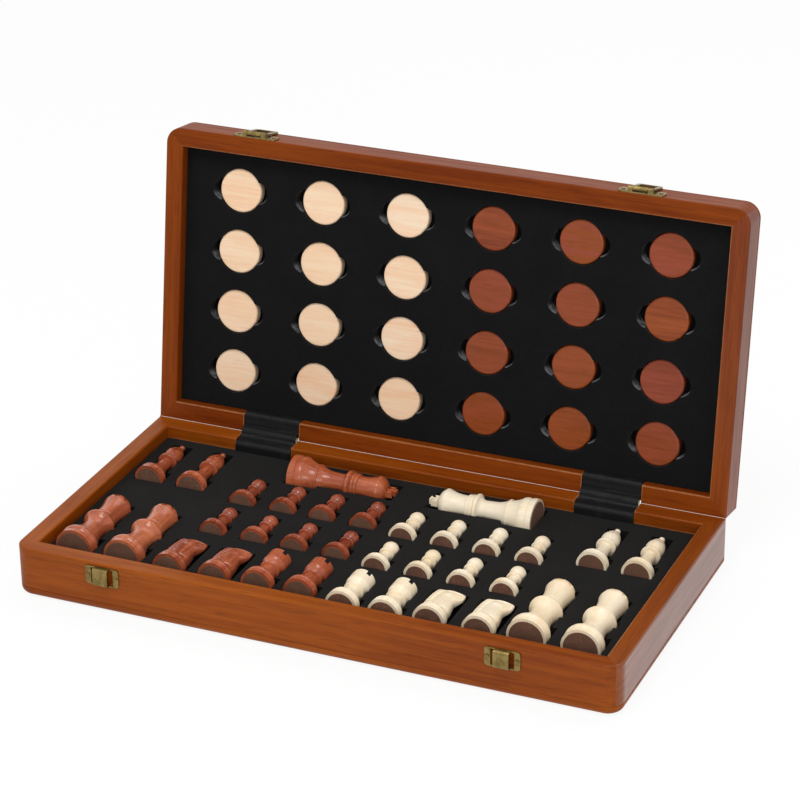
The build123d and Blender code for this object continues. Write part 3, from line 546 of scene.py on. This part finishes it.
for half, axes in (("base", baseAxes), ("lid", lidAxes)):
    for number, side in enumerate(("front", "back", "left", "right")):
        turn = unturned if side in ("front", "back") else alongY
        shift = (railStep[0] * number, railStep[1] * number, railUp)
        dress(f"{half}_{side}_rail", highlitRail(f"{half}Rail.{side}", half, side, axes, turn, shift))
    panel = woodMaterial(f"{half}Panel", railLook[half], axes, shift=panelShift)[0]
    darkVeneer = woodMaterial(f"{half}DarkVeneer", darkVeneerLook, axes, cells=darkVeneerCells)[0]
    lightVeneer = woodMaterial(f"{half}LightVeneer", lightVeneerLook, axes, cells=lightVeneerCells)[0]
    dress(f"{half}_board_panel", panel)
    dress(f"{half}_dark_squares", darkVeneer)
    dress(f"{half}_light_squares", lightVeneer)
    dress(f"{half}_foam_tray", napMaterial(f"{half}Foam", foamLook[half], axes, notched=half == "lid"))
    dress(f"{half}_hinge_straps", napMaterial(f"{half}Strap", foamLook[half], axes))
    for side in ("left", "right"):
        dress(f"hinge_{side}_{half}_leaf", brassMaterial(f"{half}Leaf.{side}", axes))
    dress(f"hinge_{half}_screws", brassMaterial(f"{half}Screws", axes))

pinSteel = brassMaterial("pinSteel", baseAxes)
baseBrass = brassMaterial("keeperBrass", baseAxes)
lidBrass = brassMaterial("latchBrass", lidAxes)
dress("hinge_pins", pinSteel)
dress("latch_pins", pinSteel)
for side in ("left", "right"):
    dress(f"latch_{side}_keeper", baseBrass)
    dress(f"latch_{side}_plate", lidBrass)
    dress(f"latch_{side}_bail", lidBrass)
dress("keeper_nails", baseBrass)
dress("latch_plate_nails", lidBrass)

darkManLook = {
    "early": "cc7048", "late": "a04a2c", "pores": "5c240e", "figure": 90.0, "streak": 600.0,
    "poreScale": 2400.0, "poreAmount": 0.35, "roughness": 0.28, "bump": 0.2, "coat": 0.8,
}
lightManLook = {
    "early": "fff4de", "late": "f9e7c6", "pores": "dcc090", "figure": 90.0, "streak": 600.0,
    "poreScale": 2400.0, "poreAmount": 0.2, "roughness": 0.34, "bump": 0.18, "coat": 0.3,
}
darkManCells = {"column": 29.4 * mm, "early": "b45a3a", "late": "843a22"}
lightManCells = {"column": 28.3 * mm, "early": "fff0d6", "late": "f3dab2"}
manTints = {
    ("dark", "pawns"): {"early": "a85438", "late": "7e3420"},
    ("dark", "queens"): {"early": "d67c54", "late": "aa5836"},
    ("light", "queens"): {"early": "fae8ca", "late": "f3d9b2"},
}
# each column of men is a cell, and the pawns' two rows part at 14 mm
pawnRows = {"size": 60 * mm, "shift": -14 * mm}
oneRow = {"size": 10.0, "shift": 5.0}

feltDisc = napMaterial("feltDisc", feltLook, baseAxes)
manMaterials = {}
for shade, look, cells in (("dark", darkManLook, darkManCells), ("light", lightManLook, lightManCells)):
    for number, kind in enumerate(("king", "queens", "knights", "rooks", "bishops", "pawns")):
        rows = pawnRows if kind == "pawns" else oneRow
        size = (cells["column"], rows["size"], 1)
        manCells = {**cells, "size": size, "shift": (0, rows["shift"], number + 0.5)}
        tinted = {**look, **manTints.get((shade, kind), {})}
        if kind == "king":
            material = woodMaterial(f"{shade}Men.{kind}", tinted, baseAxes)[0]
        else:
            material = woodMaterial(f"{shade}Men.{kind}", tinted, baseAxes, alongY, cells=manCells)[0]
        manMaterials[shade, kind] = material
        dress(f"{shade}_{kind}", material)
        dress(f"{shade}_{kind}_felt", feltDisc)

darkDraughtLook = {
    "early": "9a4a1c", "late": "742f12", "pores": "50200c", "figure": 110.0, "streak": 500.0,
    "poreScale": 2400.0, "poreAmount": 0.35, "roughness": 0.36, "bump": 0.2, "coat": 0.3,
}
lightDraughtLook = {
    "early": "fcddba", "late": "f8d0aa", "pores": "e2b48a", "figure": 110.0, "streak": 500.0,
    "poreScale": 2400.0, "poreAmount": 0.25, "roughness": 0.36, "bump": 0.2, "coat": 0.3,
}
halfWide = draughtGrid["column"] * draughtGrid["columns"] / 2
halfTall = draughtGrid["row"] * draughtGrid["rows"] / 2
draughtCells = {"size": (draughtGrid["column"], draughtGrid["row"], 1), "shift": (halfWide, halfTall, 0)}
darkDraughtCells = {**draughtCells, "early": "924030", "late": "8a4208"}
lightDraughtCells = {**draughtCells, "early": "fbe6ca", "late": "f6c49c"}
darkDraughts = woodMaterial("darkDraughts", darkDraughtLook, lidAxes, cells=darkDraughtCells)[0]
lightDraughts = woodMaterial("lightDraughts", lightDraughtLook, lidAxes, cells=lightDraughtCells)[0]
dress("dark_draughts", darkDraughts)
dress("light_draughts", lightDraughts)

print("stage: straps over the hinges")


def smoothly(a, b, c, d, t):
    # from b to c at share t, on a smooth curve that also heeds a and d
    bend = 2 * a - 5 * b + 4 * c - d
    twist = 3 * b - a - 3 * c + d
    return 0.5 * (2 * b + (c - a) * t + bend * t * t + twist * t**3)


strap = {
    "width": 38.0 * mm, "thickness": 0.8 * mm, "waist": 0.012, "edge": 0.2 * mm, "edgeSegments": 2,
    "rows": 72, "columns": 60, "stepsBetween": 20,
    # points of its underside in mm, across the box and up, on the base's own axes
    "basePath": [
        (83.0, 24.1), (83.0, 26.4), (83.05, 28.4), (83.9, 29.6), (85.6, 29.95), (88.3, 30.05), (90.4, 30.5),
    ],
    # then round the knuckles
    "knuckleReach": 3.3 * mm, "knuckleAngles": (183, 152, 121),
    # then from the hinge in the open lid, up along it and down into its tray
    "lidPath": [
        (3.9, 0.95), (5.6, 1.15), (8.2, 1.3), (10.2, 1.25), (11.45, 1.75), (11.9, 3.0), (11.95, 5.0),
        (11.95, 6.85),
    ],
    # shallow rolls: share of the length, slope, half width in shares of the length, and height
    "rolls": [
        (0.42, 0.05, 0.035, 1.0), (0.52, -0.07, 0.03, 0.7), (0.61, 0.04, 0.04, 0.8),
        (0.33, -0.04, 0.04, 0.45), (0.72, 0.06, 0.05, 0.35),
    ],
    "creaseHeight": 0.22 * mm,
    # how each roll wanders and fades across the strap, in waves that differ by strap and by roll
    "wander": {"size": 0.012, "across": 9, "byStrap": 3, "byRoll": 40},
    "fade": {"least": 0.55, "size": 0.45, "across": 5.1, "byStrap": 2.3, "byRoll": 17},
}
strapLook = {
    "ground": "0e0e0f", "grooveShade": "080809", "wearAndHighlight": "1e1e20",
    "pebbles": 1500.0, "pitRange": (0.35, 0.7), "patches": 120.0, "rubbedRange": (0.45, 0.75),
    "roughness": 0.55, "pitRoughness": 0.15, "bump": 0.35, "bumpDepth": 0.12 * mm, "ior": 1.3,
}


def strapPath():
    # points of the strap's underside in the world, from base foam to lid foam
    points = [(y * mm, z * mm) for y, z in strap["basePath"]]
    reach = strap["knuckleReach"]
    for angle in strap["knuckleAngles"]:
        points.append((hinge.y + reach * cos(radians(angle)), hinge.z + reach * sin(radians(angle))))
    lean = box["lidOpen"] - pi / 2
    for along, deep in strap["lidPath"]:
        y = along * mm * sin(lean) + deep * mm * cos(lean)
        z = along * mm * cos(lean) - deep * mm * sin(lean)
        points.append((hinge.y + y, hinge.z + z))
    return [Vector((0, y, z)) for y, z in points]


def smoothRun(points, count):
    # evenly spaced points along a smooth curve through these ones, and its length
    fine = []
    padded = [points[0] * 2 - points[1]] + points + [points[-1] * 2 - points[-2]]
    for a, b, c, d in zip(padded, padded[1:], padded[2:], padded[3:]):
        for step in range(strap["stepsBetween"]):
            fine.append(smoothly(a, b, c, d, step / strap["stepsBetween"]))
    fine.append(points[-1])
    runs = [0.0]
    for a, b in zip(fine, fine[1:]):
        runs.append(runs[-1] + (b - a).length)
    even, at = [], 0
    for n in range(count):
        wanted = runs[-1] * n / (count - 1)
        while at < len(fine) - 2 and runs[at + 1] < wanted:
            at += 1
        share = (wanted - runs[at]) / (runs[at + 1] - runs[at])
        even.append(fine[at].lerp(fine[at + 1], min(max(share, 0), 1)))
    return even, runs[-1]


def creases(side, u, v):
    # the rolls' height at a point; u runs across the strap and v along it
    def wave(of, middle):
        return of["size"] * sin(of["across"] * u + of["byStrap"] * side + of["byRoll"] * middle)

    rolls = 0.0
    for middle, slope, width, height in strap["rolls"]:
        strength = strap["fade"]["least"] + wave(strap["fade"], middle)
        offset = (v - middle - slope * (u - 0.5) - wave(strap["wander"], middle)) / width
        rolls += height * strength * max(0.0, 1 - offset * offset) ** 2
    return rolls


def makeStraps():
    rows, columns = strap["rows"], strap["columns"]
    path, length = smoothRun(strapPath(), rows)
    shape = bmesh.new()
    for side, middle in enumerate(box["hingesAt"]):
        grid = bmesh.ops.create_grid(shape, x_segments=columns - 1, y_segments=rows - 1, size=0.5)
        for vert in grid["verts"]:
            u, v = vert.co.x + 0.5, vert.co.y + 0.5
            row = int(round(v * (rows - 1)))
            before, after = path[max(row - 1, 0)], path[min(row + 1, rows - 1)]
            run = (after - before).normalized()
            out = Vector((0, -run.z, run.y))
            narrow = 1 - strap["waist"] * sin(pi * v) ** 2
            lift = creases(side, u, v) * strap["creaseHeight"]
            vert.co = path[row] + out * lift
            vert.co.x += middle + (u - 0.5) * strap["width"] * narrow
    bmesh.ops.recalc_face_normals(shape, faces=shape.faces)
    mesh = bpy.data.meshes.new("hingeStraps")
    shape.to_mesh(mesh)
    shape.free()
    piece = bpy.data.objects.new("hingeStraps", mesh)
    scene.collection.objects.link(piece)
    outward = mesh.polygons[0].normal.y < 0
    thicken = piece.modifiers.new("thickness", "SOLIDIFY")
    thicken.thickness = strap["thickness"]
    thicken.offset = 1.0 if outward else -1.0
    rounded = piece.modifiers.new("edges", "BEVEL")
    rounded.width = strap["edge"]
    rounded.segments = strap["edgeSegments"]
    rounded.limit_method = "ANGLE"
    for polygon in mesh.polygons:
        polygon.use_smooth = True
    return piece, length


def strapMaterial():
    # coated cloth: a pebbled grain, paler in scuffed patches, with the grooves between the pebbles painted
    # darker as painted shade
    material, tree, shader, own = startMaterial("strapLeatherette", baseAxes)
    inputs = {"Vector": own, "Scale": strapLook["pebbles"]}
    pebbles = addNode(tree, "ShaderNodeTexVoronoi", {"feature": "SMOOTH_F1"}, inputs).outputs[0]
    slow = noise(tree, own, strapLook["patches"])
    rubbedAndHighlit = spread(tree, slow, *strapLook["rubbedRange"])
    pit = spread(tree, pebbles, *strapLook["pitRange"])
    surface = mixColours(tree, rubbedAndHighlit, colour(strapLook["ground"]), colour(strapLook["wearAndHighlight"]))
    # painted shade in the grooves between the pebbles
    surface = mixColours(tree, pit, surface, colour(strapLook["grooveShade"]))
    tree.links.new(surface, shader.inputs["Base Color"])
    pitRough = maths(tree, "MULTIPLY", pit, strapLook["pitRoughness"])
    tree.links.new(maths(tree, "ADD", pitRough, strapLook["roughness"]), shader.inputs["Roughness"])
    height = maths(tree, "ADD", maths(tree, "MULTIPLY", pebbles, -1.0), slow)
    bumpInto(tree, shader, height, strapLook["bump"], strapLook["bumpDepth"])
    setShader(shader, {"IOR": strapLook["ior"]})
    return material


hingeStraps, strapLength = makeStraps()
hingeStraps.data.materials.append(strapMaterial())
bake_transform(hingeStraps)
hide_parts("base_hinge_straps", "lid_hinge_straps")

print("stage: carved knights")

knight = {
    "foot": 9.9 * mm, "length": 35.0 * mm, "up": 24.0 * mm, "row": -72.7 * mm,
    "columns": {"dark": (-69.6 * mm, -99.3 * mm), "light": (66.8 * mm, 97.0 * mm)},
    "steps": 64, "loops": 130, "around": 96, "merge": 0.005 * mm, "sharpAngle": radians(38),
    # from here on, across and thick are in foot radii and up is a share of the length
    # the turned foot's outline
    "turned": (
        (0.0, 0.0143), (0.828, 0.0143), (0.828, 0.0), (1.0, 0.0), (1.0, 0.08), (0.93, 0.1), (0.962, 0.12),
        (0.975, 0.145), (0.955, 0.172), (0.9, 0.2), (0.84, 0.23), (0.0, 0.24),
    ),
    # rows up the neck and head: mane (across, up), face (across, up) and half thickness
    "rows": (
        (-0.80, 0.16, 0.80, 0.16, 0.60), (-0.88, 0.27, 0.83, 0.28, 0.60),
        (-0.93, 0.38, 0.82, 0.40, 0.58), (-0.955, 0.50, 0.77, 0.50, 0.54),
        (-0.955, 0.60, 0.72, 0.59, 0.49), (-0.95, 0.68, 0.71, 0.66, 0.455),
        (-0.94, 0.75, 0.78, 0.715, 0.425), (-0.925, 0.81, 0.90, 0.765, 0.40),
        (-0.905, 0.86, 0.985, 0.815, 0.37), (-0.88, 0.905, 1.0, 0.865, 0.34),
        (-0.855, 0.945, 0.995, 0.92, 0.31), (-0.83, 0.975, 0.975, 0.96, 0.27),
        (-0.81, 0.992, 0.95, 0.982, 0.2), (-0.79, 0.997, 0.92, 0.99, 0.0),
    ),
    "thinnest": 0.02, "squareness": 0.7,
    # the carving fades in from the mane and face edges, and where the head gets thin
    "fadeRate": 3, "fadeThickness": 0.2,
    "poll": {"at": 0.3, "half": 0.16, "dip": 0.03, "from": 0.7, "over": 0.3},
    "muzzle": {"from": 0.35, "over": 0.6, "above": 0.72, "rise": 0.08, "narrow": 0.28},
    # round marks on the side of the head: across, up, radius and height
    "marks": (
        (0.12, 0.80, 0.42, 0.055),  # cheek
        (0.22, 0.885, 0.13, 0.05),  # brow round the eye
        (0.22, 0.885, 0.06, -0.05),  # eye
        (0.86, 0.90, 0.09, -0.06),  # nostril
    ),
    # long cuts: where they run, how high, their slope, half width, depth and how fast their ends fade
    "underBrow": {
        "from": -0.2, "to": 0.9, "up": 0.915, "slope": 0.03, "half": 0.11, "depth": 0.06, "endRate": 4,
    },
    "mouth": {
        "from": 0.62, "over": 0.38, "up": 0.845, "slope": 0.012, "half": 0.045, "depth": 0.05, "endRate": 3,
    },
    "collar": {"up": 0.31, "half": 0.012, "depth": 0.04},
    "mane": {
        "locks": 13, "lockDepth": 0.075, "lean": 1.4, "edge": 0.33, "waviness": 0.03, "soften": 0.06,
        "cutHalf": 0.035, "cutDepth": 0.06, "from": 0.12,
    },
}
# the length in foot radii
knightTall = knight["length"] / knight["foot"]


def alongRows(v):
    # the row at share v of the way up, smoothly between the given ones
    rows = knight["rows"]
    last = len(rows) - 1
    beforeEnd = 0.9999  # keeps the crest inside the last stretch
    at = min(v, beforeEnd) * last
    n = int(at)
    near = (rows[min(max(n + k, 0), last)] for k in (-1, 0, 1, 2))
    return [smoothly(*values, at - n) for values in zip(*near)]


def groove(offset, half):
    # 1 on the middle line of a cut, falling to 0 at half its width
    return max(0.0, 1 - (offset / half) ** 2)


def upTo(value):
    # a share held between 0 and 1
    return min(1.0, max(0.0, value))


def hump(x, z, atX, atZ, radius):
    # a smooth rise about a point of the profile, in foot radii
    off = ((x - atX) ** 2 + ((z - atZ) * knightTall) ** 2) / radius**2
    return max(0.0, 1 - off) ** 2


def carved(x, z, u, v):
    # how far the carving raises or cuts the side of the head, in foot radii
    lift = sum(height * hump(x, z, atX, atZ, radius) for atX, atZ, radius, height in knight["marks"])
    brow, mouth, mane, collar = knight["underBrow"], knight["mouth"], knight["mane"], knight["collar"]
    gap = (z - brow["up"] - brow["slope"] * x) * knightTall
    ends = upTo(brow["endRate"] * (x - brow["from"])) * upTo(brow["endRate"] * (brow["to"] - x))
    lift -= brow["depth"] * groove(gap, brow["half"]) * ends
    along = (x - mouth["from"]) / mouth["over"]
    if along <= 1:
        gap = (z - mouth["up"] - mouth["slope"] * along) * knightTall
        lift -= mouth["depth"] * groove(gap, mouth["half"]) * upTo(mouth["endRate"] * along)
    # locks of the mane, and the cut in front of it
    edge = mane["edge"] + mane["waviness"] * sin(2 * pi * mane["locks"] * v)
    if v > mane["from"]:
        if u < edge:
            wave = 0.5 + 0.5 * cos(2 * pi * (mane["locks"] * v + mane["lean"] * u))
            lift -= mane["lockDepth"] * wave**3 * min(1.0, (edge - u) / mane["soften"])
        lift -= mane["cutDepth"] * groove(u - edge, mane["cutHalf"])
    return lift - collar["depth"] * groove(z - collar["up"], collar["half"])


def headPoint(angle, v):
    # a point of the neck and head: angle runs round the section and v from the collar to the crest
    maneX, maneZ, faceX, faceZ, half = alongRows(v)
    poll, muzzle = knight["poll"], knight["muzzle"]
    u = 0.5 - 0.5 * cos(angle)
    x, z = maneX + (faceX - maneX) * u, maneZ + (faceZ - maneZ) * u
    # the poll dips between the ears and the brow
    z -= poll["dip"] * groove(u - poll["at"], poll["half"]) * upTo((v - poll["from"]) / poll["over"])
    forward = upTo((x - muzzle["from"]) / muzzle["over"])
    high = upTo((z - muzzle["above"]) / muzzle["rise"])
    side = sin(angle)
    out = max(half, 0.0) * abs(side) ** knight["squareness"] * (1 - muzzle["narrow"] * forward * high)
    if out > knight["thinnest"]:
        fade = min(1.0, abs(side) * knight["fadeRate"]) * min(1.0, half / knight["fadeThickness"])
        out = max(knight["thinnest"], out + carved(x, z, u, v) * fade)
    return Vector((x * knight["foot"], (out if side >= 0 else -out) * knight["foot"], z * knight["length"]))


def carveKnights(shade):
    # a spun foot, and a flat grid wrapped round into the neck and head
    shape = bmesh.new()
    outline = [shape.verts.new((r * knight["foot"], 0, h * knight["length"])) for r, h in knight["turned"]]
    edges = [shape.edges.new(pair) for pair in zip(outline, outline[1:])]
    about = {"cent": (0, 0, 0), "axis": (0, 0, 1), "angle": 2 * pi}
    bmesh.ops.spin(shape, geom=outline + edges, steps=knight["steps"], use_merge=True, **about)
    bmesh.ops.remove_doubles(shape, verts=shape.verts, dist=knight["merge"])
    around, loops = knight["around"], knight["loops"] - 1
    wrapped = bmesh.ops.create_grid(shape, x_segments=around, y_segments=loops, size=0.5)["verts"]
    for vert in wrapped:
        vert.co = headPoint(2 * pi * (vert.co.x + 0.5), vert.co.y + 0.5)
    bmesh.ops.remove_doubles(shape, verts=wrapped, dist=knight["merge"])
    bmesh.ops.holes_fill(shape, edges=[edge for edge in shape.edges if edge.is_boundary], sides=0)
    bmesh.ops.recalc_face_normals(shape, faces=shape.faces)
    # lay it down: its length runs back from the row and its face looks along X
    first, second = knight["columns"][shade]
    laid = Matrix(((1, 0, 0, first), (0, 0, 1, knight["row"]), (0, -1, 0, knight["up"]), (0, 0, 0, 1)))
    bmesh.ops.transform(shape, matrix=laid, verts=shape.verts)
    copied = bmesh.ops.duplicate(shape, geom=shape.verts[:] + shape.edges[:] + shape.faces[:])["geom"]
    moved = [part for part in copied if isinstance(part, bmesh.types.BMVert)]
    bmesh.ops.translate(shape, verts=moved, vec=(second - first, 0, 0))
    mesh = bpy.data.meshes.new(f"{shade}CarvedKnights")
    shape.to_mesh(mesh)
    shape.free()
    for polygon in mesh.polygons:
        polygon.use_smooth = True
    mesh.set_sharp_from_angle(angle=knight["sharpAngle"])
    piece = bpy.data.objects.new(f"{shade}CarvedKnights", mesh)
    scene.collection.objects.link(piece)
    mesh.materials.append(manMaterials[shade, "knights"])
    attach(piece, f"{shade}_knights")
    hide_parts(f"{shade}_knights")


for shade in ("dark", "light"):
    carveKnights(shade)

print("stage: camera, lights and floor")

camera = {
    "place": (0.658666, -1.469319, 0.892169),
    "yaw": radians(23.5),
    "pitch": radians(25.647),
    "roll": radians(-0.757),
    "lens": 137.93,
    "furthest": 20,
}


def aimCamera():
    yaw, pitch, roll = camera["yaw"], camera["pitch"], camera["roll"]
    forward = Vector((-sin(yaw) * cos(pitch), cos(yaw) * cos(pitch), -sin(pitch)))
    across = Vector((cos(yaw), sin(yaw), 0))
    above = across.cross(forward)
    right = cos(roll) * across + sin(roll) * above
    up = cos(roll) * above - sin(roll) * across
    data = bpy.data.cameras.new("camera")
    data.lens = camera["lens"]
    data.clip_end = camera["furthest"]
    eye = bpy.data.objects.new("camera", data)
    scene.collection.objects.link(eye)
    turn = Matrix((right, up, -forward)).transposed().to_4x4()
    eye.matrix_world = Matrix.Translation(camera["place"]) @ turn
    scene.camera = eye


aimCamera()

studio = {
    "worldLight": 0.55,
    "aim": Vector((0, 0.0, 0.06)),
    "softboxes": {
        "key": {"place": (0.05, -0.62, 1.75), "power": 13.0, "size": 0.8, "gloss": 1.0},
        "low": {"place": (0.45, -0.9, 0.4), "power": 1.8, "size": 0.4, "gloss": 0.3},
        "back": {"place": (0.2, 0.9, 1.6), "power": 6.0, "size": 1.2, "gloss": 1.0},
    },
    "floorReach": 6.0,
    "floorColour": "fcfcfc",
    "floorGlow": 0.9,
}


def addSoftbox(name, softbox):
    data = bpy.data.lights.new(name, "AREA")
    data.energy = softbox["power"]
    data.shape = "DISK"
    data.size = softbox["size"]
    data.specular_factor = softbox["gloss"]
    lamp = bpy.data.objects.new(name, data)
    lamp.location = softbox["place"]
    lamp.rotation_euler = (studio["aim"] - Vector(softbox["place"])).to_track_quat("-Z", "Y").to_euler()
    scene.collection.objects.link(lamp)


for name, softbox in studio["softboxes"].items():
    addSoftbox(name, softbox)


def seenDirectly(tree):
    # 1 for what the eye sees, straight or by way of polished metal or glass
    path = addNode(tree, "ShaderNodeLightPath").outputs
    seen = maths(tree, "MAXIMUM", path["Is Camera Ray"], path["Is Glossy Ray"])
    return maths(tree, "MAXIMUM", seen, path["Is Transmission Ray"])


def lightWorld():
    # white to the eye and to gloss, and a plain grey light on the object
    world = bpy.data.worlds.new("studio")
    world.use_nodes = True
    scene.world = world
    tree = world.node_tree
    background = tree.nodes["Background"]
    background.inputs["Color"].default_value = (1, 1, 1, 1)
    extra = maths(tree, "MULTIPLY", seenDirectly(tree), 1.0 - studio["worldLight"])
    strength = maths(tree, "ADD", extra, studio["worldLight"])
    tree.links.new(strength, background.inputs["Strength"])


lightWorld()


def layFloor():
    mesh = bpy.data.meshes.new("floor")
    shape = bmesh.new()
    bmesh.ops.create_grid(shape, x_segments=1, y_segments=1, size=studio["floorReach"])
    shape.to_mesh(mesh)
    shape.free()
    floor = bpy.data.objects.new("floor", mesh)
    scene.collection.objects.link(floor)
    material = bpy.data.materials.new("floor")
    material.use_nodes = True
    tree = material.node_tree
    shader = tree.nodes["Principled BSDF"]
    matt = {"Roughness": 0.9, "Specular IOR Level": 0.2}
    setShader(shader, {"Base Color": colour(studio["floorColour"]), **matt})
    glow = addNode(tree, "ShaderNodeEmission", None, {"Color": (1, 1, 1, 1), "Strength": 1.0})
    share = maths(tree, "MULTIPLY", seenDirectly(tree), studio["floorGlow"])
    both = addNode(tree, "ShaderNodeMixShader", None, {0: share, 1: shader.outputs[0], 2: glow.outputs[0]})
    tree.links.new(both.outputs[0], tree.nodes["Material Output"].inputs["Surface"])
    mesh.materials.append(material)


layFloor()
scene.view_settings.view_transform = "Standard"
